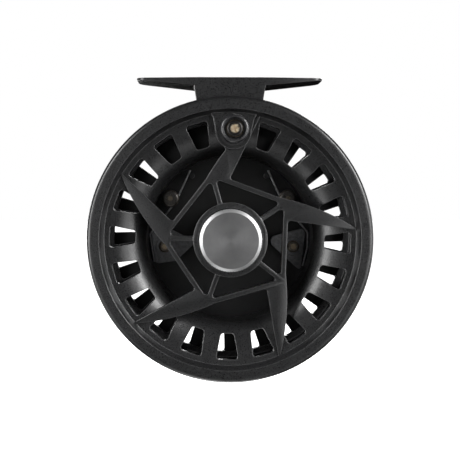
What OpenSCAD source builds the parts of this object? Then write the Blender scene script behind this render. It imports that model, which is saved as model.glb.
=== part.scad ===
// Click-and-pawl fly reel with a palming-rim spool, all sizes in millimetres.
// Origin: centre of the foot's top face. +Z is up to the rod, -Y is the handle side.
// "Depth" below is always measured back from the front face of the palming rim.

/* [Reel] */
// Outside diameter of the palming rim
reel_d = 86; // [86:0.5:90]
// Depth of the frame's back face
reel_depth = 26.6; // [26.4:0.1:28]
// Height of the foot's top face above the spindle axis
foot_rise = 49.4; // [48.5:0.1:52]

/* [Spool] */
// Inside diameter of the arbor drum
drum_bore_d = 51.2; // [51:0.1:52]
// Wall of the arbor drum
drum_wall = 1.6; // [1.2:0.1:2]
// Ports round the flanges, counting the one that the handle boss fills
port_count = 20; // [18:1:20]
// Angle that the parked spool is turned clockwise, seen from the front
spool_turn = 1.6; // [0:0.1:9]
// Radius of the inner end of a port
port_in_r = 28.7; // [28.5:0.1:30]
// Width of a port at its inner end
port_in_w = 3.9; // [3:0.1:4.5]
// Width of a port at its outer end
port_out_w = 6.9; // [5:0.1:7.4]

/* [Pinwheel] */
// Arms of the pinwheel
arm_count = 5; // [5:1:5]
// Distance from the axis to the outer edge of a pinwheel side
side_dist = 17.05; // [16.5:0.05:17.5]
// Width of the thin ribs
rib_w = 1.35; // [1.1:0.05:1.7]
// Angle of the first side's normal, clockwise from the handle
side_angle = 18.6; // [16:0.1:20]
// Outside diameter of the hub
hub_d = 22.4; // [21.5:0.1:23]

/* [Foot] */
// Length of the foot along the rod
foot_len = 57.2; // [54:0.1:60]
// Width of the foot across the rod
foot_w = 18; // [16:0.5:18]
// Width of the foot at its tips
foot_tip_w = 14.6; // [10:0.1:16]
// Thickness of the foot beside the pedestal
foot_root_t = 2.5; // [2:0.1:3]
// Thickness of the foot at its tips
foot_tip_t = 0.7; // [0.6:0.1:1.2]
// Width of the pedestal under the foot
pedestal_w = 21.8; // [20:0.1:22]

/* [Handle] */
// Distance from the spindle axis to the handle axis
handle_r = 32.5; // [32:0.1:33]
// Length of the handle grip
grip_len = 14.6; // [12:0.1:20]
// Largest diameter of the handle grip
grip_d = 8.3; // [7.6:0.1:8.4]

/* [Click] */
// Teeth of the ratchet wheel
tooth_count = 24; // [12:12:36]
// Radius of the ratchet wheel at its tooth tips
gear_r = 10.9; // [10.5:0.1:11]
// Distance from the spindle axis to each pawl pivot
pawl_r = 20.5; // [20.4:0.05:20.6]
// Angle of each pawl pivot from straight up
pawl_angle = 98; // [96:0.5:99]
// Wire diameter of the pawl springs
wire_d = 0.7; // [0.6:0.05:0.8]

/* [Hidden] */
$fn = 64;
reel_r = reel_d / 2;
hub_r = hub_d / 2;
drum_in_r = drum_bore_d / 2;
drum_out_r = drum_in_r + drum_wall;
rear_flange_r = reel_r - 4.4;
port_out_r = reel_r - 6.7;
port_pitch = 360 / port_count;
port_corner = 0.9;

// depths of the spool, front to back
land_depth = 2.7;
dish_curve_r = 12.8;
arm_front = 2.3;
arm_back = 6;
arm_start = 9.5;
arm_reach = 34.5;
arm_crest_at = 20;
arm_crest = 0.8;
arm_curve = 0.00726;
arm_tip_w = 0.45;
behind_flange = 3.6;
boss_front = 1.9;
arm_end_r = reel_r - 4.6;
skirt_back = 8;
flange_bend = 3.4;
socket_front = 9.4;
socket_back = 12;
flange_front = 19.6;
flange_back = 21;

// depths of the frame, front to back
ring_front = 3.9;
shoulder_front = 8.3;
shoulder_back = 10.6;
wall_front = 19.2;
plate_front = 22.6;
plate_back = reel_depth - 1.6;
ring_in_r = rear_flange_r + 0.7;
ring_out_r = reel_r - 1.75;
skirt_in_r = reel_r - 1.25;

// foot section of the frame
pad_z = reel_r - 1.5;
foot_front = shoulder_front + 0.3;
seat_depth = foot_front + foot_w / 2;
pedestal_low_w = pedestal_w - 1.7;
foot_screw_x = 6;
foot_screw_depth = 15;
foot_screw_r = 1.5;
foot_screw_head_r = 2.7;
foot_screw_sink = 2.2;
foot_arc = 19;

// spindle, knob and bearings
spindle_r = 3;
spindle_tip_r = 2.5;
spindle_end_r = 2.4;
spindle_step = 3;
running = 0.05;
fit = 0.02;
bush_r = 4.6;
bushing_front = 4;
bushing_len = 5;
clip_front = 3.72;
clip_r = 3.6;
clip_gap = 1.6;
counterbore_r = 9.65;
counterbore_back = 3.7;
knob_r = 9.3;
knob_front = -2.9;
knob_back = 2.5;
knob_face_r = 8.35;
knob_knurls = 72;
insert_front = -1.6;
insert_r = 4;
knob_washer_front = 2.6;
knob_washer_back = 3.4;
hub_tube_r = 6.2;
hub_flange_front = 17.7;
hub_flange_r = 9.2;
ratchet_screw_r = 0.8;
gear_front = 19.3;
gear_back = 20.9;
gear_root_r = gear_r - 1.1;
gear_screw_r = 7.3;
gear_screw_angle = 40;
ratchet_screw_tip = 16.2;

// pawls, springs and their screws
pawl_front = 19.3;
pawl_back = 21.1;
pawl_boss_front = 18.95;
pawl_boss_r = 2.9;
pawl_tip_gap = 0.2;
pawl_half_w = 5;
pawl_back_reach = 3.7;
pawl_pin_r = 1.5;
pawl_post_r = 1.2;
pawl_screw_r = 0.7;
pawl_head_r = 1.9;
boss_pawl = 21.3;
anchor_r = 22.3;
anchor_angle = 56.3;
anchor_head_r = 2.8;
anchor_head_front = 17;
anchor_head_back = 18.6;
anchor_shank_r = 1.4;
anchor_thread_r = 1.1;
coil_r = 1.95;
peg_r = 0.8;
peg = [11.8, 19.53];
leg_end = [12.3, 21.3];
leg_gap = 0.05;
coil_front = 18.98;
coil_back = 20.4;
boss_spring = 20.8;

// handle
land_r = 5.3;
land_back = 3.4;
boss_r = 3.4;
boss_back = 9.4;
handle_hole_back = 8.4;
grip_back = 1.25;
grip_front = grip_back - grip_len;
grip_bore_r = 1.95;
sleeve_r = 1.9;
handle_screw_r = 1.25;
handle_head_r = 2.6;
handle_head_h = 1.3;

// ---------- placing helpers ----------

// carries shapes drawn round the spindle (local +Z to the front) into the reel's frame
module on_spindle() {
    translate([0, -seat_depth, -foot_rise]) rotate([90, 0, 0]) children();
}

// carries shapes on the spool, which is parked turned by spool_turn
module on_spool() {
    on_spindle() rotate([0, 0, -spool_turn]) children();
}

// extrudes a flat shape from depth a back to depth b
module slab(a, b) {
    translate([0, 0, -b]) linear_extrude(b - a) children();
}

// round bar from depth a back to depth b
module bar(a, b, r) {
    translate([0, 0, -b]) cylinder(h = b - a, r = r);
}

// revolves a list of [radius, depth] points about the spindle
module turned(points) {
    rotate_extrude() polygon([for (p = points) [p[0], -p[1]]]);
}

// copies at an angle clockwise from straight up, seen from the front
module at_clock(angle, radius = 0) {
    rotate([0, 0, -angle]) translate([0, radius, 0]) children();
}

// points of an arc round [r, depth], from angle a0 to a1
function arc(r, d, rad, a0, a1, n = 6) =
    [for (i = [0:n]) let (a = a0 + (a1 - a0) * i / n) [r + rad * cos(a), d + rad * sin(a)]];

function clock_xy(angle, radius) = [radius * sin(angle), radius * cos(angle)];

// ---------- frame ----------

// one window of the back plate, between two parallel-sided bars
module back_window() {
    inner = port_in_r;
    outer = reel_r - 6.2;
    bar_half = 2.15;
    half_in = inner * tan(port_pitch / 2) - bar_half;
    half_out = outer * tan(port_pitch / 2) - bar_half;
    offset(r = 0.8, $fn = 24) offset(delta = -0.8)
        polygon([[-half_in, inner], [half_in, inner], [half_out, outer], [-half_out, outer]]);
}

// cage pillar seen along the spindle
module pillar_outline() {
    intersection() {
        difference() {
            circle(r = reel_r - 0.5, $fn = 128);
            circle(r = ring_in_r + 0.2, $fn = 128);
        }
        translate([-3.4, 0]) square([6.8, reel_r]);
    }
}

// wall of the cage that carries the foot
module foot_section_outline() {
    reach = reel_r * 1.3;
    intersection() {
        difference() {
            circle(r = reel_r - 0.3, $fn = 128);
            circle(r = ring_in_r + 0.2, $fn = 128);
        }
        polygon([[0, 0], [-reach * tan(foot_arc), reach], [reach * tan(foot_arc), reach]]);
    }
}

module frame_body() {
    // back plate with its rim wall
    turned(concat(
        [[0, plate_front], [36.9, plate_front], [ring_in_r + 0.4, plate_front - 0.6],
         [ring_in_r + 0.4, wall_front], [reel_r, wall_front]],
        arc(reel_r - 2, reel_depth - 2, 2, 0, 90),
        [[reel_r - 4.6, reel_depth], [reel_r - 6, plate_back], [14, plate_back],
         [12, reel_depth - 0.4], [0, reel_depth - 0.4]]
    ));
    // front ring that the palming rim runs over
    turned([[ring_in_r, ring_front], [ring_out_r, ring_front], [ring_out_r, shoulder_front],
            [reel_r, shoulder_front], [reel_r, shoulder_back], [ring_in_r, shoulder_back]]);
    for (angle = [65, 115, 155, 205, 245, 295])
        at_clock(angle) slab(shoulder_back - 0.5, wall_front + 0.5) pillar_outline();
    slab(shoulder_back - 0.5, wall_front + 0.5) foot_section_outline();
    // bosses for the pawl posts and the spring screws, and the spring pegs
    for (side = [-1, 1]) {
        at_clock(side * pawl_angle, pawl_r) bar(boss_pawl, plate_front + 0.5, 2.7);
        at_clock(side * anchor_angle, anchor_r) bar(boss_spring, plate_front + 0.5, 2.5);
        translate([side * peg[0], peg[1], 0]) bar(18.4, plate_front + 0.5, peg_r);
    }
    // stiffening ring on the inside of the plate
    turned([[8.2, 21.9], [9.2, 21.9], [9.2, plate_front + 0.5], [8.2, plate_front + 0.5]]);
}

module frame() {
    color("#2b2c2e") on_spindle() difference() {
        frame_body();
        // windows; the two on each side of the foot stay closed
        for (i = [2:port_count - 3])
            at_clock((i + 0.5) * port_pitch - 1) slab(plate_front - 2, reel_depth + 1) back_window();
        // flat pad under the pedestal
        translate([-reel_r, pad_z, -reel_depth - 1]) cube([2 * reel_r, 5, reel_depth - shoulder_front + 1.5]);
        // countersunk holes of the foot screws
        for (side = [-1, 1]) translate([side * foot_screw_x, 0, -foot_screw_depth]) rotate([-90, 0, 0]) {
            cylinder(h = reel_r, r = foot_screw_r);
            cylinder(h = pad_z - foot_screw_sink, r = foot_screw_head_r);
            translate([0, 0, pad_z - foot_screw_sink])
                cylinder(h = 1.2, r1 = foot_screw_head_r, r2 = foot_screw_r);
        }
        // post and spring screw holes
        for (side = [-1, 1]) {
            at_clock(side * pawl_angle, pawl_r) bar(boss_spring - 1, plate_back + 1, pawl_post_r);
            at_clock(side * anchor_angle, anchor_r) bar(boss_spring - 1, 24.2, anchor_thread_r);
        }
        // recess of the spindle nut
        bar(plate_back, reel_depth + 1, 6.4);
        bar(plate_front - 1, reel_depth + 1, spindle_r + fit);
    }
}

// ---------- foot ----------

module foot_profile() {
    half = foot_len / 2;
    top = foot_rise;
    polygon([
        [-half, top], [half, top], [half, top - foot_tip_t],
        [pedestal_w / 2, top - foot_root_t], [pedestal_low_w / 2, pad_z],
        [-pedestal_low_w / 2, pad_z], [-pedestal_w / 2, top - foot_root_t], [-half, top - foot_tip_t]
    ]);
}

// plan of the foot, drawn with its width along Y
module foot_plan() {
    half = foot_len / 2;
    corner = 3;
    tip = foot_tip_w / 2 - corner;
    side = [pedestal_w / 2, foot_w / 2];
    polygon(concat(
        [[side[0], -side[1]]],
        arc(half - corner, -tip, corner, -86, 0, 7),
        arc(half - corner, tip, corner, 0, 86, 7),
        [[side[0], side[1]], [-side[0], side[1]]],
        arc(-half + corner, tip, corner, 94, 180, 7),
        arc(-half + corner, -tip, corner, 180, 266, 7),
        [[-side[0], -side[1]]]
    ));
}

module reel_foot() {
    color("#2b2c2e") difference() {
        intersection() {
            on_spindle() slab(foot_front, foot_front + foot_w) foot_profile();
            translate([0, 0, -foot_rise]) linear_extrude(foot_rise + 1) foot_plan();
        }
        for (side = [-1, 1])
            translate([side * foot_screw_x, foot_screw_depth - seat_depth, pad_z - foot_rise - 1])
                cylinder(h = 5.2, r = foot_screw_r);
    }
}

module foot_screws() {
    for (side = [-1, 1])
        color("#8d8f92") on_spindle() translate([side * foot_screw_x, 0, -foot_screw_depth])
            rotate([-90, 0, 0]) difference() {
                union() {
                    translate([0, 0, pad_z - foot_screw_sink])
                        cylinder(h = 1.2, r1 = foot_screw_head_r, r2 = foot_screw_r);
                    translate([0, 0, pad_z - 1.1]) cylinder(h = 4.9, r = foot_screw_r);
                }
                // cross recess
                for (turn = [0, 90]) rotate([0, 0, turn])
                    translate([-1.3, -0.3, pad_z - 2.3]) cube([2.6, 0.6, 0.9]);
            }
}

// ---------- spindle ----------

module spindle() {
    color("#b9bcc0") on_spindle() {
        bar(spindle_step, plate_back, spindle_r);
        bar(-0.9, spindle_step, spindle_tip_r);
        bar(plate_back, reel_depth + 0.5, spindle_end_r);
    }
}

// shoulder collar that the rear bushing bears on
module spindle_collar() {
    color("#9a9da1") on_spindle()
        turned([[spindle_r, 21.2], [4.6, 21.2], [5, 21.5], [5, plate_front], [spindle_r, plate_front]]);
}

module spindle_washer() {
    color("#a7aaad") on_spindle()
        turned([[spindle_end_r, plate_back], [6, plate_back], [6, plate_back + 0.5],
                [spindle_end_r, plate_back + 0.5]]);
}

module spindle_nut() {
    color("#a7aaad") on_spindle() difference() {
        bar(plate_back + 0.5, reel_depth + 0.3, 5);
        for (face = [0:5]) rotate([0, 0, face * 60])
            translate([4.4, -5, -reel_depth - 1]) cube([2, 10, 4]);
        bar(plate_back, reel_depth + 1, spindle_end_r);
    }
}

// ---------- click mechanism ----------

module pawl_posts() {
    for (side = [-1, 1])
        color("#b08d4c") on_spindle() at_clock(side * pawl_angle, pawl_r) difference() {
            union() {
                bar(pawl_boss_front - 0.15, boss_pawl, pawl_pin_r);
                bar(boss_pawl, plate_back - 0.4, pawl_post_r);
            }
            bar(pawl_boss_front - 1, 22.3, pawl_screw_r);
        }
}

// domed head with a cross recess, its top at depth a
module cross_head(a, b, r, slot_l, slot_w) {
    rise = (b - a) * 0.55;
    difference() {
        turned(concat([[0, a]], [[r * 0.62, a]], arc(r * 0.62, b, r * 0.38, -90, 0, 5), [[0, b]]));
        for (turn = [20, 110]) rotate([0, 0, turn])
            translate([-slot_l / 2, -slot_w / 2, -a - rise]) cube([slot_l, slot_w, rise + 1]);
    }
}

module pawl_screws() {
    top = pawl_boss_front - 0.15;
    for (side = [-1, 1])
        color("#9c7a45") on_spindle() at_clock(side * pawl_angle, pawl_r) {
            cross_head(top - 0.72, top, pawl_head_r, 1.9, 0.45);
            bar(top, 22.2, pawl_screw_r);
        }
}

// pawl drawn round its pivot from a list of rounded corners, each [x, y, corner radius]
module pawl(corners) {
    difference() {
        union() {
            slab(pawl_front, pawl_back) hull()
                for (c = corners) translate([c[0], c[1]]) circle(r = c[2], $fn = 32);
            bar(pawl_boss_front, pawl_back, pawl_boss_r);
        }
        bar(pawl_boss_front - 1, pawl_back + 1, pawl_pin_r + running);
    }
}

// the working pawl, its nose at the ratchet wheel and its flat back to the spring
module pawl_left() {
    nose_r = 0.7;
    nose = pawl_r - gear_r - pawl_tip_gap - nose_r;
    color("#3c3e41") on_spindle() at_clock(-pawl_angle, pawl_r) pawl([
        [0, -nose, nose_r],
        [-pawl_half_w + 1, pawl_back_reach - 1, 1], [pawl_half_w - 1, pawl_back_reach - 1, 1],
        [-pawl_half_w + 1.2, -2.4, 1.2], [pawl_half_w - 1.2, -2.4, 1.2]
    ]);
}

// the idle pawl, turned so that its nose points down, clear of the ratchet wheel
module pawl_right() {
    pivot = clock_xy(pawl_angle, pawl_r);
    color("#3c3e41") on_spindle() translate([pivot[0], pivot[1], 0])
        pawl([[-5.2, 1.6, 1.9], [1.8, -6.35, 0.8], [2.3, 4.0, 1.5]]);
}

// round wire swept along points that never run straight along the spindle
module swept_wire(points, r, sides = 10) {
    last = len(points) - 1;
    rings = [for (i = [0:last])
        let (run = points[min(i + 1, last)] - points[max(i - 1, 0)],
             across = cross(run, [0, 0, 1]) / norm(cross(run, [0, 0, 1])),
             up = cross(across, run) / norm(run))
        for (k = [0:sides - 1])
            points[i] + r * (cos(k * 360 / sides) * across + sin(k * 360 / sides) * up)];
    walls = [for (i = [0:last - 1], k = [0:sides - 1])
        let (a = i * sides + k, b = i * sides + (k + 1) % sides)
        [a, a + sides, b + sides, b]];
    polyhedron(rings, concat(
        walls, [[for (k = [0:sides - 1]) k]], [[for (k = [sides - 1:-1:0]) last * sides + k]]
    ), convexity = 6);
}

// where a straight leg to the point q touches the coil, as an angle round the coil's centre c
function touch_angle(c, q, side) = let (d = q - c)
    (atan2(d[1], d[0]) + side * acos(coil_r / norm(d)) + 720) % 360;

// torsion spring under its screw head: two turns, a leg to the peg and a long leg along a pawl
module pawl_spring(long_leg) {
    c = clock_xy(anchor_angle, anchor_r);
    a0 = touch_angle(c, leg_end, 1);
    a1 = touch_angle(c, long_leg[0], -1);
    turn = 720 + (a1 - a0 + 360) % 360;
    steps = 50;
    coil = [for (i = [0:steps])
        let (a = a0 + turn * i / steps, depth = coil_front + (coil_back - coil_front) * i / steps)
        [c[0] + coil_r * cos(a), c[1] + coil_r * sin(a), -depth]];
    out = [for (p = long_leg) [p[0], p[1], -coil_back]];
    near = 0.05;
    swept_wire(concat(
        [[leg_end[0], leg_end[1], -coil_front]], coil,
        [out[0] * (1 - near) + coil[steps] * near, out[0] * (1 - near) + out[1] * near],
        [for (i = [1:len(out) - 1]) out[i]]
    ), wire_d / 2);
}

// a point beside the left pawl, mirrored to the right side: along its back, and out from its pivot
function pawl_side(along, out) =
    clock_xy(pawl_angle, pawl_r + out) + along * [cos(pawl_angle), -sin(pawl_angle)];

module spring_right() {
    color("#a9abae") on_spindle() pawl_spring([[25, 1.6], [24.95, -3], [23.4, -9.2]]);
}

module spring_left() {
    out = pawl_back_reach + wire_d / 2 + leg_gap;
    color("#a9abae") on_spindle() mirror([1, 0, 0])
        pawl_spring([pawl_side(-4.6, out), pawl_side(0, out), pawl_side(4.4, out)]);
}

module spring_screws() {
    for (side = [-1, 1])
        color("#9c7a45") on_spindle() at_clock(side * anchor_angle, anchor_r) {
            cross_head(anchor_head_front, anchor_head_back, anchor_head_r, 3, 0.6);
            bar(anchor_head_back, boss_spring, anchor_shank_r);
            bar(boss_spring, 24, anchor_thread_r);
        }
}

// ---------- spool ----------

// flange port with rounded corners
module port() {
    offset(r = port_corner, $fn = 24) offset(delta = -port_corner)
        polygon([[-port_in_w / 2, port_in_r], [port_in_w / 2, port_in_r],
                 [port_out_w / 2, port_out_r], [-port_out_w / 2, port_out_r]]);
}

// front surface of the rim and the dished flange, outside to inside
function dish_front() = concat(
    [[reel_r, skirt_back]],
    arc(reel_r - 1.5, 1.5, 1.5, 0, -90),
    [[reel_r - 3.75, 0], [reel_r - 4.0, 0.25], [reel_r - 4.3, 1.0], [reel_r - 5.0, land_depth],
     [reel_r - 5.7, land_depth + 0.1]],
    arc(reel_r - 6.5, land_depth + 0.2 + dish_curve_r, dish_curve_r, -90, -145, 12)
);

// back surface of the flange and the rim, inside to outside
function dish_back() = concat(
    [[drum_in_r, socket_front], [drum_in_r + drum_wall * 0.55, socket_front],
     [drum_in_r + drum_wall * 0.55, socket_back], [drum_out_r, socket_back]],
    arc(drum_out_r + flange_bend, 10, flange_bend, -180, -94, 6),
    [[reel_r - 5.4, 4.9], [reel_r - 4.5, 4.6], [reel_r - 3.6, 3.0], [skirt_in_r, 3.0],
     [skirt_in_r, skirt_back]]
);

// outer edge of an arm, a shallow curve that crests part of the way out
function arm_edge(u) = side_dist + arm_crest - arm_curve * pow(u - arm_crest_at, 2);

// one side of the pinwheel and the arm that runs on from it; the side's normal points along +Y
module pinwheel_arm() {
    half = side_dist * tan(180 / arm_count);
    translate([-half, side_dist - rib_w]) square([2 * half, rib_w]);
    polygon(concat(
        [for (u = [arm_start:2.5:arm_reach]) [u, arm_edge(u)]],
        [[arm_reach, arm_edge(arm_reach) - arm_tip_w], [14.2, side_dist - 5.55],
         [12.6, side_dist - 2.65], [arm_start, side_dist - 0.85]]
    ));
}

module pinwheel_outline() {
    fillet = 0.9;
    offset(r = -fillet, $fn = 32) offset(r = fillet, $fn = 32) {
        circle(r = hub_r - 0.25);
        for (i = [0:arm_count - 1]) {
            at_clock(side_angle + i * 360 / arm_count) pinwheel_arm();
            at_clock(side_angle + (i + 0.5) * 360 / arm_count)
                translate([-rib_w / 2, 0]) square([rib_w, side_dist + 2]);
        }
        translate([0, handle_r]) circle(r = land_r);
    }
}

// the dished flange with its rim, before the ports are cut
module flange_solid() {
    turned(concat(dish_front(), dish_back()));
}

// raised U-shaped land round the handle, drawn flat
module handle_land_outline() {
    intersection() {
        union() {
            translate([0, handle_r]) circle(r = land_r);
            polygon([[-land_r, handle_r], [land_r, handle_r], [land_r + 0.8, reel_r - 6.6],
                     [8.2, reel_r - 3], [-8.2, reel_r - 3], [-land_r - 0.8, reel_r - 6.6]]);
        }
        circle(r = arm_end_r, $fn = 128);
    }
}

// palming rim and dished flange with the boss of the handle
module spool_face() {
    color("#2e2f31") on_spool() difference() {
        union() {
            difference() {
                flange_solid();
                for (i = [1:port_count - 1])
                    at_clock(i * port_pitch) slab(0, 12) port();
            }
            slab(boss_front, land_back) handle_land_outline();
            at_clock(0, handle_r) bar(boss_front, boss_back, boss_r);
        }
        at_clock(0, handle_r) bar(0, handle_hole_back, handle_screw_r);
    }
}

// five-armed pinwheel with the front of the hub
module spool_pinwheel() {
    color("#2e2f31") on_spool() difference() {
        union() {
            slab(arm_front, arm_back) intersection() {
                pinwheel_outline();
                circle(r = arm_end_r, $fn = 128);
            }
            bar(boss_front, arm_back, hub_r);
        }
        flange_solid();
        // room behind the flange, and for the handle's land and boss
        turned([[drum_in_r - 0.01, socket_front], [drum_in_r - 0.01, flange_front],
                [reel_r, flange_front], [reel_r, behind_flange], [drum_out_r + flange_bend, 5.5]]);
        slab(boss_front - 1, land_back) handle_land_outline();
        at_clock(0, handle_r) bar(boss_front - 1, boss_back, boss_r);
        bar(boss_front - 1, counterbore_back, counterbore_r);
        bar(boss_front - 1, arm_back + 1, bush_r);
    }
}

// tube of the hub with the flange that carries the ratchet wheel
module spool_hub() {
    color("#2e2f31") on_spool() difference() {
        union() {
            bar(arm_back, gear_front, hub_tube_r);
            bar(hub_flange_front, gear_front, hub_flange_r);
        }
        bar(arm_back - 1, gear_front + 1, bush_r);
        // sockets of the ratchet screws
        for (i = [0:2])
            at_clock(i * 120 + gear_screw_angle, gear_screw_r)
                bar(ratchet_screw_tip - 0.2, gear_front + 1, ratchet_screw_r);
    }
}

module spool_drum() {
    color("#2e2f31") on_spool() difference() {
        turned(concat(
            [[drum_in_r, socket_front], [drum_in_r + drum_wall * 0.55, socket_front],
             [drum_in_r + drum_wall * 0.55, socket_back], [drum_out_r, socket_back]],
            arc(drum_out_r + 1.4, flange_front - 1.4, 1.4, 180, 90),
            [[rear_flange_r - 0.4, flange_front], [rear_flange_r, flange_front + 0.4],
             [rear_flange_r, flange_back], [drum_in_r, flange_back]]
        ));
        for (i = [0:port_count - 1])
            at_clock(i * port_pitch) slab(flange_front - 2, flange_back + 1) port();
    }
}

// even-sided teeth with narrow flat tips
module ratchet_outline() {
    polygon([for (i = [0:tooth_count - 1], part = [0, 1, 2, 3])
        let (a = (i + [0, 0.12, 0.48, 0.64][part]) * 360 / tooth_count,
             r = [gear_r, gear_r, gear_root_r, gear_root_r][part])
        clock_xy(a, r)]);
}

module ratchet_wheel() {
    color("#c2a35c") on_spool() difference() {
        slab(gear_front, gear_back) ratchet_outline();
        bar(gear_front - 1, gear_back + 1, 5.4);
        for (i = [0:2])
            at_clock(i * 120 + gear_screw_angle, gear_screw_r)
                bar(gear_front - 1, gear_back + 1, ratchet_screw_r + running);
    }
}

module ratchet_screws() {
    for (i = [0:2])
        color("#8d8f92") on_spool() at_clock(i * 120 + gear_screw_angle, gear_screw_r) difference() {
            union() {
                bar(gear_back, gear_back + 0.6, 1.35);
                bar(ratchet_screw_tip, gear_back, ratchet_screw_r);
            }
            translate([-1, -0.18, -gear_back - 0.7]) cube([2, 0.36, 0.4]);
        }
}

// plain round bearing
module bushing(front, back) {
    bar_r = spindle_r + running;
    turned([[bar_r, front], [bush_r, front], [bush_r, back], [bar_r, back]]);
}

module front_bushing() {
    color("#a5804a") on_spool() bushing(bushing_front, bushing_front + bushing_len);
}

module rear_bushing() {
    color("#a5804a") on_spool() bushing(gear_front - 0.1 - bushing_len, gear_front - 0.1);
}

// spring clip that keeps the front bushing in the hub
module bushing_clip() {
    color("#77797c") on_spool() difference() {
        turned([[clip_r, clip_front], [bush_r, clip_front], [bush_r, bushing_front], [clip_r, bushing_front]]);
        translate([0, -clip_gap / 2, -bushing_front - 0.2]) cube([6, clip_gap, 1]);
    }
}

// ---------- spool knob ----------

module spool_knob() {
    color("#c9cbce") on_spindle() difference() {
        turned([
            [0, knob_front], [knob_face_r, knob_front], [knob_r, knob_front + 0.8],
            [knob_r, knob_back - 0.6], [knob_r - 0.5, knob_back], [0, knob_back]
        ]);
        // fine grooves round the edge
        for (i = [0:knob_knurls - 1]) rotate([0, 0, i * 360 / knob_knurls])
            translate([knob_r + 0.12, 0, -knob_back - 1]) rotate([0, 0, 45])
                translate([-0.2, -0.2, 0]) cube([0.4, 0.4, 8]);
        bar(insert_front, knob_back + 1, insert_r);
    }
}

// threaded insert pressed into the knob
module knob_insert() {
    color("#b08d4c") on_spindle()
        turned([[spindle_tip_r + running, insert_front], [insert_r, insert_front],
                [insert_r, knob_back], [spindle_tip_r + running, knob_back]]);
}

// washer that rises and falls with the knob
module knob_washer() {
    color("#e0e0dc") on_spindle()
        turned([[3.1, knob_washer_front], [7, knob_washer_front], [7, knob_washer_back],
                [3.1, knob_washer_back]]);
}

// ---------- handle ----------

module on_handle() {
    on_spool() at_clock(0, handle_r) children();
}

module handle_grip() {
    end_r = grip_d / 2;
    color("#262729") on_handle() turned(concat(
        [[grip_bore_r, grip_back], [end_r - 0.75, grip_back], [end_r - 0.45, grip_back - 0.4],
         [end_r - 0.95, grip_back - 3], [end_r - 0.8, grip_back - 6], [end_r - 0.2, grip_back - 10]],
        arc(end_r - 0.9, grip_front + 0.9, 0.9, 20, -90, 6),
        [[3.25, grip_front], [3.25, grip_front + 1.6], [grip_bore_r, grip_front + 1.6]]
    ));
}

module handle_sleeve() {
    color("#b9bcc0") on_handle()
        turned([[handle_screw_r, grip_front + 1.5], [sleeve_r, grip_front + 1.5],
                [sleeve_r, boss_front], [handle_screw_r, boss_front]]);
}

module handle_screw() {
    head_back = grip_front + 1.5;
    color("#8a7a66") on_handle() {
        cross_head(head_back - handle_head_h, head_back, handle_head_r, 2.6, 0.55);
        bar(head_back, handle_hole_back - 0.2, handle_screw_r);
    }
}

module handle_washer() {
    color("#1f1f20") on_handle()
        turned([[sleeve_r + running, 1.35], [4.2, 1.35], [4.2, boss_front], [sleeve_r + running, boss_front]]);
}

frame();
reel_foot();
foot_screws();
spindle();
spindle_washer();
spindle_nut();
spindle_collar();
pawl_posts();
pawl_screws();
pawl_left();
pawl_right();
spring_left();
spring_right();
spring_screws();
spool_face();
spool_pinwheel();
spool_hub();
spool_drum();
ratchet_wheel();
ratchet_screws();
front_bushing();
rear_bushing();
bushing_clip();
spool_knob();
knob_insert();
knob_washer();
handle_grip();
handle_sleeve();
handle_screw();
handle_washer();
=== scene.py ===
import math

import bpy
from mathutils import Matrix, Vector


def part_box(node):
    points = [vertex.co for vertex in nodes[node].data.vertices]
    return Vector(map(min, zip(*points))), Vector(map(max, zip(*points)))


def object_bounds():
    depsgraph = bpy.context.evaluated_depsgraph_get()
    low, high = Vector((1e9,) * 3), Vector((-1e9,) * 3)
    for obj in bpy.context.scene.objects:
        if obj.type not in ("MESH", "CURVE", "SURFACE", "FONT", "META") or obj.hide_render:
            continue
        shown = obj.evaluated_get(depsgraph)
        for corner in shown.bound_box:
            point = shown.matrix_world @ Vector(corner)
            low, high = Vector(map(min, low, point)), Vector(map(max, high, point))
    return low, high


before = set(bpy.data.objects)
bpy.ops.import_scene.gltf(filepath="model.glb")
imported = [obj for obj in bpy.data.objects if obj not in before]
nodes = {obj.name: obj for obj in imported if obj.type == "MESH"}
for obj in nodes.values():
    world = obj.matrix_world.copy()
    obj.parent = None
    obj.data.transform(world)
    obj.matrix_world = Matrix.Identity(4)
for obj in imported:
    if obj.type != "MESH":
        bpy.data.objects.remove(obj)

# the whole reel as the CAD has it, before anything is added
cad_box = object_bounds()

scene = bpy.context.scene
MM = 0.001

# ---------- places taken from the frame ----------

knob_low, knob_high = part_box("spool_knob")
rim_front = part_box("spool_face")[0].y
axis_x = (knob_low.x + knob_high.x) / 2
axis_z = (knob_low.z + knob_high.z) / 2
AXIS = Vector((axis_x, rim_front, axis_z))


def at_depth(x, height, depth):
    """A point given from the spindle axis and back from the rim's front face, in millimetres."""
    return AXIS + Vector((x, depth, height)) * MM


# ---------- camera ----------

# the eye in millimetres from the spindle axis and the rim's front, and the point it looks at
EYE_DISTANCE = 300
EYE_LEFT = 7.4
EYE_UP = 14.6
AIM = (-0.187, 3.083)
# width seen at the rim's front, in millimetres, and the sensor's width
FRAME_PX = 460
SCALE_MM_PER_PX = 0.298
SEEN_WIDTH = SCALE_MM_PER_PX * FRAME_PX
SENSOR = 36

eye = at_depth(-EYE_LEFT, EYE_UP, -EYE_DISTANCE)
aim = at_depth(AIM[0], AIM[1], 0)
cam_data = bpy.data.cameras.new("camera")
cam_data.sensor_width = SENSOR
cam_data.lens = SENSOR * (aim - eye).length / MM / SEEN_WIDTH
cam_data.clip_start = 0.01
camera = bpy.data.objects.new("camera", cam_data)
camera.location = eye
camera.rotation_euler = (aim - eye).to_track_quat("-Z", "Y").to_euler()
scene.collection.objects.link(camera)
scene.camera = camera

# ---------- material helpers ----------


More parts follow.
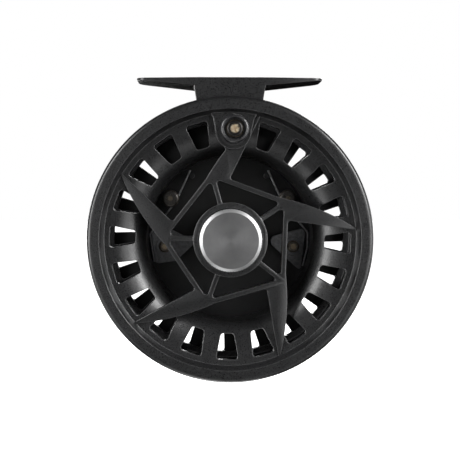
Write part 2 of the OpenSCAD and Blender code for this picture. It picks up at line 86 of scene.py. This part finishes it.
class Nodes:
    """A short way to add and join the shader nodes of one material."""

    def __init__(self, name):
        self.material = bpy.data.materials.new(name)
        self.material.use_nodes = True
        self.tree = self.material.node_tree
        self.shader = self.tree.nodes["Principled BSDF"]
        self.place = self.add("ShaderNodeTexCoord").outputs["Object"]

    def add(self, kind, **settings):
        node = self.tree.nodes.new(kind)
        for key, value in settings.items():
            setattr(node, key, value)
        return node

    def join(self, source, target):
        self.tree.links.new(source, target)

    def set(self, **values):
        for key, value in values.items():
            self.shader.inputs[key.replace("_", " ")].default_value = value

    def noise(self, scale, detail=2.0, rough=0.5, place=None):
        node = self.add("ShaderNodeTexNoise")
        node.inputs["Scale"].default_value = scale
        node.inputs["Detail"].default_value = detail
        node.inputs["Roughness"].default_value = rough
        self.join(place or self.place, node.inputs["Vector"])
        return node.outputs["Fac"]

    def cells(self, scale):
        node = self.add("ShaderNodeTexVoronoi", feature="F1")
        node.inputs["Scale"].default_value = scale
        self.join(self.place, node.inputs["Vector"])
        return node.outputs["Distance"]

    def ramp(self, source, stops):
        """Maps a value through colour stops [(position, (r, g, b)), ...]."""
        node = self.add("ShaderNodeValToRGB")
        ramp = node.color_ramp
        while len(ramp.elements) < len(stops):
            ramp.elements.new(0.5)
        for element, (position, colour) in zip(ramp.elements, stops):
            element.position = position
            element.color = (*colour, 1)
        self.join(source, node.inputs["Fac"])
        return node.outputs["Color"]

    def span(self, source, low, high, from_low=0.0, from_high=1.0):
        node = self.add("ShaderNodeMapRange")
        node.inputs["From Min"].default_value = from_low
        node.inputs["From Max"].default_value = from_high
        node.inputs["To Min"].default_value = low
        node.inputs["To Max"].default_value = high
        self.join(source, node.inputs["Value"])
        return node.outputs["Result"]

    def math(self, operation, a, b=0):
        node = self.add("ShaderNodeMath", operation=operation)
        for socket, value in zip(node.inputs, (a, b)):
            if isinstance(value, (int, float)):
                socket.default_value = value
            else:
                self.join(value, socket)
        return node.outputs[0]

    def mix(self, factor, a, b):
        """Colour a where factor is 0, b where it is 1; a and b are sockets or colours."""
        node = self.add("ShaderNodeMix", data_type="RGBA")
        self.join(factor, node.inputs["Factor"])
        for socket, value in ((node.inputs[6], a), (node.inputs[7], b)):
            if isinstance(value, tuple):
                socket.default_value = (*value, 1)
            else:
                self.join(value, socket)
        return node.outputs[2]

    def bump(self, height, strength, distance, below=None):
        node = self.add("ShaderNodeBump")
        node.inputs["Strength"].default_value = strength
        node.inputs["Distance"].default_value = distance
        self.join(height, node.inputs["Height"])
        if below is not None:
            self.join(below, node.inputs["Normal"])
        return node.outputs["Normal"]

    def distance(self, x, z):
        """Distance from the axis through the origin of x and z, both given as sockets."""
        squares = self.math("ADD", self.math("MULTIPLY", x, x), self.math("MULTIPLY", z, z))
        return self.math("SQRT", squares)

    def blend(self, a, b, share):
        """The share of a and the rest of b, added."""
        return self.math("ADD", self.math("MULTIPLY", a, share), self.math("MULTIPLY", b, 1 - share))

    def colour(self, source):
        self.join(source, self.shader.inputs["Base Color"])

    def rough(self, source):
        self.join(source, self.shader.inputs["Roughness"])

    def normal(self, source):
        self.join(source, self.shader.inputs["Normal"])


# rounding of cast edges in the shader, in millimetres, and the rays that find it
EDGE_ROUND = 0.34
EDGE_SAMPLES = 6
# the middle of a noise, where nearly all of its values lie
MID_LOW = 0.3
MID_HIGH = 0.7


def rounded_edges(m):
    """The normal rounded at the edges, and a mask of how far it leans from the true one there."""
    rounded = m.add("ShaderNodeBevel", samples=EDGE_SAMPLES)
    rounded.inputs["Radius"].default_value = EDGE_ROUND * MM
    true_face = m.add("ShaderNodeNewGeometry")
    lean = m.add("ShaderNodeVectorMath", operation="DOT_PRODUCT")
    m.join(rounded.outputs["Normal"], lean.inputs[0])
    m.join(true_face.outputs["Normal"], lean.inputs[1])
    return rounded.outputs["Normal"], m.span(lean.outputs["Value"], 1.0, 0.0, 0.75, 0.97)


def powder_coat(name, dark, light, fleck, fleck_size, edge_wear_and_highlight, rough=(0.25, 0.37), ior=1.6):
    """Baked powder coat: orange peel, fine grain, scattered lighter flecks, and edges painted lighter,
    partly abraded coat and partly a painted highlight.
    """
    m = Nodes(name)
    cloud = m.noise(120, 3, 0.6)
    grain = m.noise(3600, 2, 0.6)
    tone = m.ramp(m.blend(cloud, grain, 0.2), [(0.38, dark), (0.62, light)])
    spots = m.span(m.cells(fleck_size), 1.0, 0.0, 0.10, 0.20)
    gate = m.span(m.noise(1400, 1), 0.0, 1.0, 0.55, 0.62)
    flecked = m.mix(m.math("MULTIPLY", spots, gate), tone, fleck)
    rounded, edge = rounded_edges(m)
    # the edges are painted lighter: partly an abraded coat, partly a painted highlight for light caught on
    # the rounded edges
    edge_breakup = m.span(grain, 0.5, 1.0, MID_LOW, 0.6)
    m.colour(m.mix(m.math("MULTIPLY", edge, edge_breakup), flecked, edge_wear_and_highlight))
    m.rough(m.span(grain, rough[0], rough[1], MID_LOW, MID_HIGH))
    peel = m.bump(m.noise(900, 2), 0.3, 0.06 * MM, rounded)
    m.normal(m.bump(grain, 0.3, 0.02 * MM, peel))
    m.set(IOR=ior)
    return m.material


def turned_metal(name, dark, light, rough_low, rough_high, rings, edge_r, chamfer_highlight):
    """Satin metal with fine lathe lines round the spindle, rougher outside edge_r and painted brighter there
    as a painted highlight on the chamfer.
    """
    m = Nodes(name)
    centre = m.add("ShaderNodeMapping", vector_type="POINT")
    centre.inputs["Location"].default_value = (-AXIS.x, 0, -AXIS.z)
    m.join(m.place, centre.inputs["Vector"])
    split = m.add("ShaderNodeSeparateXYZ")
    m.join(centre.outputs["Vector"], split.inputs["Vector"])
    radius = m.distance(split.outputs["X"], split.outputs["Z"])
    ring_place = m.add("ShaderNodeCombineXYZ")
    m.join(m.math("MULTIPLY", radius, rings), ring_place.inputs["X"])
    lines = m.noise(1.0, 3, 0.7, ring_place.outputs["Vector"])
    cloud = m.noise(260, 3)
    face = m.ramp(m.blend(lines, cloud, 0.7), [(0.35, dark), (0.65, light)])
    # outside edge_r the chamfer is painted brighter: a painted highlight ring round the knob
    edge = m.span(radius, 0.0, 1.0, (edge_r - 0.05) * MM, (edge_r + 0.05) * MM)
    m.colour(m.mix(edge, face, chamfer_highlight))
    face_rough = m.span(lines, rough_low, rough_high, MID_LOW, MID_HIGH)
    m.rough(m.math("ADD", face_rough, m.math("MULTIPLY", edge, 0.12)))
    m.normal(m.bump(lines, 0.25, 0.02 * MM))
    round_tangent = m.add("ShaderNodeTangent", direction_type="RADIAL", axis="Y")
    m.join(round_tangent.outputs["Tangent"], m.shader.inputs["Tangent"])
    m.set(Metallic=1.0, Anisotropic=0.2, Anisotropic_Rotation=0.25)
    return m.material


def plated(name, dark, light, rough_low, rough_high, scale=900, metallic=1.0):
    """Small metal and plastic parts: mottled surface with fine scratches."""
    m = Nodes(name)
    cloud = m.noise(scale, 4, 0.65)
    stretch = m.add("ShaderNodeMapping")
    stretch.inputs["Scale"].default_value = (0.25, 1, 1)
    m.join(m.place, stretch.inputs["Vector"])
    scratch = m.noise(scale * 6, 2, 0.5, stretch.outputs["Vector"])
    m.colour(m.ramp(m.blend(cloud, scratch, 0.7), [(0.36, dark), (0.64, light)]))
    m.rough(m.span(scratch, rough_low, rough_high, MID_LOW, MID_HIGH))
    m.normal(m.bump(scratch, 0.3, 0.02 * MM))
    m.set(Metallic=metallic)
    return m.material


def screw_finish(name, node, head_r, glint_r, dark, bare_bronze_and_glint):
    """Blackened screw heads, with a painted highlight near the rim and bare bronze carrying a painted glint
    round the cross recess.

    The reel is symmetric, so one distance from its middle plane serves a pair of screws.
    """
    m = Nodes(name)
    low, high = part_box(node)
    paired = high.x - low.x > 4 * head_r * MM
    centre_x = high.x - AXIS.x - head_r * MM if paired else (low.x + high.x) / 2 - AXIS.x
    split = m.add("ShaderNodeSeparateXYZ")
    m.join(m.place, split.inputs["Vector"])
    across = m.math("SUBTRACT", split.outputs["X"], AXIS.x)
    if paired:
        across = m.math("ABSOLUTE", across)
    across = m.math("SUBTRACT", across, centre_x)
    up = m.math("SUBTRACT", split.outputs["Z"], (low.z + high.z) / 2)
    radius = m.distance(across, up)
    cloud = m.noise(1500, 3, 0.6)
    # the bright middle round the cross recess, bare bronze with a painted glint on it, has a ragged outline
    ragged = m.math("ADD", radius, m.math("MULTIPLY", m.math("SUBTRACT", cloud, 0.5), 0.9 * MM))
    glint = m.span(ragged, 1.0, 0.0, 0.7 * glint_r * MM, glint_r * MM)
    # a thin painted highlight ring just inside the head's outer edge, standing in for its lit edge
    from_rim = m.math("ABSOLUTE", m.math("SUBTRACT", radius, 0.93 * head_r * MM))
    rim = m.span(from_rim, 0.55, 0.0, 0.02 * MM, 0.12 * MM)
    lighter = tuple(1.8 * channel for channel in dark)
    blackened = m.ramp(cloud, [(0.38, dark), (0.62, lighter)])
    m.colour(m.mix(m.math("MAXIMUM", glint, rim), blackened, bare_bronze_and_glint))
    m.rough(m.span(m.noise(6000, 2), 0.26, 0.44, MID_LOW, MID_HIGH))
    m.normal(m.bump(cloud, 0.3, 0.02 * MM))
    m.set(Metallic=0.85)
    return m.material


# ---------- materials ----------

COAT_DARK = (0.006, 0.0061, 0.0064)
COAT_LIGHT = (0.019, 0.0191, 0.0198)
COAT_FLECK = (0.09, 0.09, 0.094)
# radius of the knob's flat face, inside its chamfer
KNOB_FACE_R = 8.35

foot_coat = powder_coat("foot_coat", COAT_DARK, COAT_LIGHT, COAT_FLECK, 2400, (0.07, 0.07, 0.072))
spool_coat = powder_coat("spool_coat", COAT_DARK, COAT_LIGHT, COAT_FLECK, 2600, (0.17, 0.17, 0.174))
# the frame's coat is painted darker than the spool's coat, as painted shade for the frame lying in shadow
# inside the reel; it is also rougher and less glossy
frame_coat = powder_coat("frame_coat", (0.005, 0.0051, 0.0054), (0.014, 0.0141, 0.0147),
                         (0.05, 0.05, 0.052), 2400, (0.05, 0.05, 0.052), (0.36, 0.48), 1.45)
grip_plastic = powder_coat("grip_plastic", (0.014, 0.014, 0.015), (0.024, 0.024, 0.026),
                           (0.03, 0.03, 0.03), 3000, (0.06, 0.06, 0.061))

knob_metal = turned_metal("knob_metal", (0.26, 0.26, 0.264), (0.40, 0.40, 0.404), 0.32, 0.46, 14000,
                          KNOB_FACE_R, (0.70, 0.70, 0.705))

handle_screw_metal = screw_finish("handle_screw_metal", "handle_screw", 2.6, 1.4,
                                  (0.025, 0.024, 0.023), (0.95, 0.80, 0.58))
spring_screw_metal = screw_finish("spring_screw_metal", "spring_screws", 2.8, 0.9,
                                  (0.085, 0.08, 0.074), (0.30, 0.26, 0.20))
pawl_screw_metal = screw_finish("pawl_screw_metal", "pawl_screws", 1.9, 1.0,
                                (0.085, 0.075, 0.062), (0.36, 0.29, 0.20))

steel = plated("steel", (0.48, 0.48, 0.49), (0.62, 0.62, 0.63), 0.22, 0.36)
wire_steel = plated("wire_steel", (0.34, 0.34, 0.35), (0.52, 0.52, 0.53), 0.25, 0.42, 1500)
zinc = plated("zinc", (0.33, 0.33, 0.35), (0.48, 0.48, 0.50), 0.30, 0.45)
bronze = plated("bronze", (0.17, 0.135, 0.095), (0.34, 0.27, 0.18), 0.30, 0.48)
bushing_bronze = plated("bushing_bronze", (0.33, 0.21, 0.10), (0.52, 0.35, 0.18), 0.35, 0.5)
brass = plated("brass", (0.45, 0.33, 0.14), (0.65, 0.50, 0.25), 0.28, 0.45)
pawl_plate = plated("pawl_plate", (0.10, 0.101, 0.105), (0.19, 0.192, 0.198), 0.38, 0.52, 1100, 0.5)
nylon = plated("nylon", (0.52, 0.52, 0.49), (0.62, 0.62, 0.59), 0.4, 0.55, 700, 0.0)
acetal = plated("acetal", (0.018, 0.018, 0.019), (0.030, 0.030, 0.031), 0.35, 0.5, 700, 0.0)

FINISH = {
    "frame": frame_coat, "reel_foot": foot_coat, "foot_screws": zinc,
    "spindle": steel, "spindle_washer": zinc, "spindle_nut": zinc, "spindle_collar": steel,
    "pawl_posts": bronze, "pawl_screws": pawl_screw_metal,
    "pawl_left": pawl_plate, "pawl_right": pawl_plate,
    "spring_left": wire_steel, "spring_right": wire_steel, "spring_screws": spring_screw_metal,
    "spool_face": spool_coat, "spool_pinwheel": spool_coat, "spool_hub": spool_coat,
    "spool_drum": spool_coat, "ratchet_wheel": brass, "ratchet_screws": zinc,
    "front_bushing": bushing_bronze, "rear_bushing": bushing_bronze, "bushing_clip": wire_steel,
    "spool_knob": knob_metal, "knob_insert": bushing_bronze, "knob_washer": nylon,
    "handle_grip": grip_plastic, "handle_sleeve": steel, "handle_screw": handle_screw_metal,
    "handle_washer": acetal,
}

for name, material in FINISH.items():
    for slot in nodes[name].material_slots:
        slot.material = material

# ---------- softened edges ----------

# degrees: edges sharper than CRISP stay crisp in the shading, sharper than REAL_EDGE are rounded,
# and faces that meet flatter than SAME_FACE are one face
CRISP = 32
REAL_EDGE = 28
SAME_FACE = 1.0
WELD_GAP = 0.002
EDGE_SEGMENTS = 2


def smooth_group(angle):
    """Shades smooth, with edges sharper than the angle kept crisp, in place of the imported normals."""
    group = bpy.data.node_groups.new("smooth_by_angle", "GeometryNodeTree")
    group.interface.new_socket("Geometry", in_out="INPUT", socket_type="NodeSocketGeometry")
    group.interface.new_socket("Geometry", in_out="OUTPUT", socket_type="NodeSocketGeometry")
    source = group.nodes.new("NodeGroupInput")
    forget = group.nodes.new("GeometryNodeRemoveAttribute")
    forget.inputs["Name"].default_value = "custom_normal"
    faces = group.nodes.new("GeometryNodeSetShadeSmooth")
    faces.domain = "FACE"
    faces.inputs["Shade Smooth"].default_value = True
    between = group.nodes.new("GeometryNodeInputMeshEdgeAngle")
    gentle = group.nodes.new("FunctionNodeCompare")
    gentle.operation = "LESS_EQUAL"
    gentle.inputs["B"].default_value = math.radians(angle)
    edges = group.nodes.new("GeometryNodeSetShadeSmooth")
    edges.domain = "EDGE"
    result = group.nodes.new("NodeGroupOutput")
    group.links.new(source.outputs[0], forget.inputs["Geometry"])
    group.links.new(forget.outputs[0], faces.inputs["Geometry"])
    group.links.new(faces.outputs[0], edges.inputs["Geometry"])
    group.links.new(between.outputs["Unsigned Angle"], gentle.inputs["A"])
    group.links.new(gentle.outputs[0], edges.inputs["Shade Smooth"])
    group.links.new(edges.outputs[0], result.inputs[0])
    return group


SMOOTH = smooth_group(CRISP)


def soften(name, width, level):
    """Joins the tessellated faces and rounds the real edges a little, as on a casting.

    Broad faces that are kept level don't take on the tilt of the rounding beside them.
    """
    obj = nodes[name]
    weld = obj.modifiers.new("weld", "WELD")
    weld.merge_threshold = WELD_GAP * MM
    plain = obj.modifiers.new("plain", "DECIMATE")
    plain.decimate_type = "DISSOLVE"
    plain.angle_limit = math.radians(SAME_FACE)
    edge = obj.modifiers.new("edges", "BEVEL")
    edge.width = width * MM
    edge.segments = EDGE_SEGMENTS
    edge.limit_method = "ANGLE"
    edge.angle_limit = math.radians(REAL_EDGE)
    edge.use_clamp_overlap = True
    edge.harden_normals = False
    shade = obj.modifiers.new("shade", "NODES")
    shade.node_group = SMOOTH
    if level:
        even = obj.modifiers.new("level_faces", "WEIGHTED_NORMAL")
        even.mode = "FACE_AREA"
        even.weight = 100
        even.keep_sharp = True


# node, width of the rounding in millimetres, whether its broad faces are kept level
SOFT_EDGES = [
    ("spool_face", 0.18, True), ("spool_pinwheel", 0.24, False), ("frame", 0.16, True),
    ("reel_foot", 0.25, True), ("spool_drum", 0.16, True), ("pawl_left", 0.12, True),
    ("pawl_right", 0.12, True),
]
for name, width, level in SOFT_EDGES:
    soften(name, width, level)

# ---------- light, background and floor ----------

# round softboxes, all alike: diameter and distance in metres from the middle of the reel
BOX_SIZE = 0.32
BOX_REACH = 0.6
MIDDLE_DEPTH = 8


def softbox(name, clock, polar, watts):
    """A light at a clock angle from straight up, seen from the front, and a polar angle off the axis."""
    p, c = math.radians(polar), math.radians(clock)
    away = Vector((math.sin(p) * math.sin(c), -math.cos(p), math.sin(p) * math.cos(c)))
    lamp = bpy.data.lights.new(name, "AREA")
    lamp.shape = "DISK"
    lamp.size = BOX_SIZE
    lamp.energy = watts
    obj = bpy.data.objects.new(name, lamp)
    obj.location = at_depth(0, 0, MIDDLE_DEPTH) + away * BOX_REACH
    obj.rotation_euler = (-away).to_track_quat("-Z", "Y").to_euler()
    obj.visible_camera = False
    scene.collection.objects.link(obj)


# name, clock angle, polar angle, watts
SOFTBOXES = [
    ("key_right_high", 60, 62, 3.4), ("key_right", 90, 62, 1.05),
    ("key_left_high", 300, 62, 2.1), ("key_left", 270, 62, 1.7),
    ("low_left", 240, 50, 0.48), ("low_left_inner", 210, 50, 0.09),
    ("low", 180, 50, 0.20), ("low_right_inner", 150, 50, 0.14),
    ("low_right", 120, 50, 0.18), ("near_right_high", 60, 40, 0.23),
    ("near_right", 90, 40, 0.31), ("near_right_low", 120, 40, 0.23),
    ("near_left", 270, 40, 0.16), ("front_right", 90, 30, 0.12),
    ("front_left", 270, 30, 0.07), ("front", 270, 15, 0.09),
    ("rim_right", 90, 110, 0.5), ("rim_right_low", 120, 110, 0.45),
    ("rim_low", 180, 110, 1.4), ("under", 195, 84, 0.6),
    ("rim_left_low", 240, 110, 0.5), ("back_high", 20, 155, 2.2),
    ("back_left", 250, 150, 1.8),
]
for label, clock, polar, watts in SOFTBOXES:
    softbox(label, clock, polar, watts)

world = bpy.data.worlds.new("studio")
world.use_nodes = True
scene.world = world
tree = world.node_tree
background = tree.nodes["Background"]
background.inputs["Color"].default_value = (1, 1, 1, 1)
# the studio is white to the eye and gives the reel almost no light of its own
AMBIENT = 0.004
seen = tree.nodes.new("ShaderNodeLightPath")
strength = tree.nodes.new("ShaderNodeMix")
tree.links.new(seen.outputs["Is Camera Ray"], strength.inputs["Factor"])
strength.inputs[2].default_value = AMBIENT
strength.inputs[3].default_value = 1.0
tree.links.new(strength.outputs[0], background.inputs["Strength"])

# the floor lies below the reel, in millimetres, and reaches this far each way, in metres
FLOOR_DROP = 40
FLOOR_REACH = 3.0
floor_z = cad_box[0].z - FLOOR_DROP * MM
corners = [(-1, -1), (1, -1), (1, 1), (-1, 1)]
floor_mesh = bpy.data.meshes.new("floor")
floor_mesh.from_pydata([(x * FLOOR_REACH, y * FLOOR_REACH, floor_z) for x, y in corners], [], [(0, 1, 2, 3)])
floor = bpy.data.objects.new("floor", floor_mesh)
scene.collection.objects.link(floor)
pale = Nodes("pale_floor")
pale.colour(pale.ramp(pale.noise(3, 2), [(0.3, (0.88, 0.88, 0.88)), (0.7, (0.93, 0.93, 0.93))]))
pale.set(Roughness=0.9, Emission_Color=(1, 1, 1, 1), Emission_Strength=1.3)
floor_mesh.materials.append(pale.material)
floor.visible_diffuse = False
floor.visible_glossy = False

scene.view_settings.view_transform = "Standard"
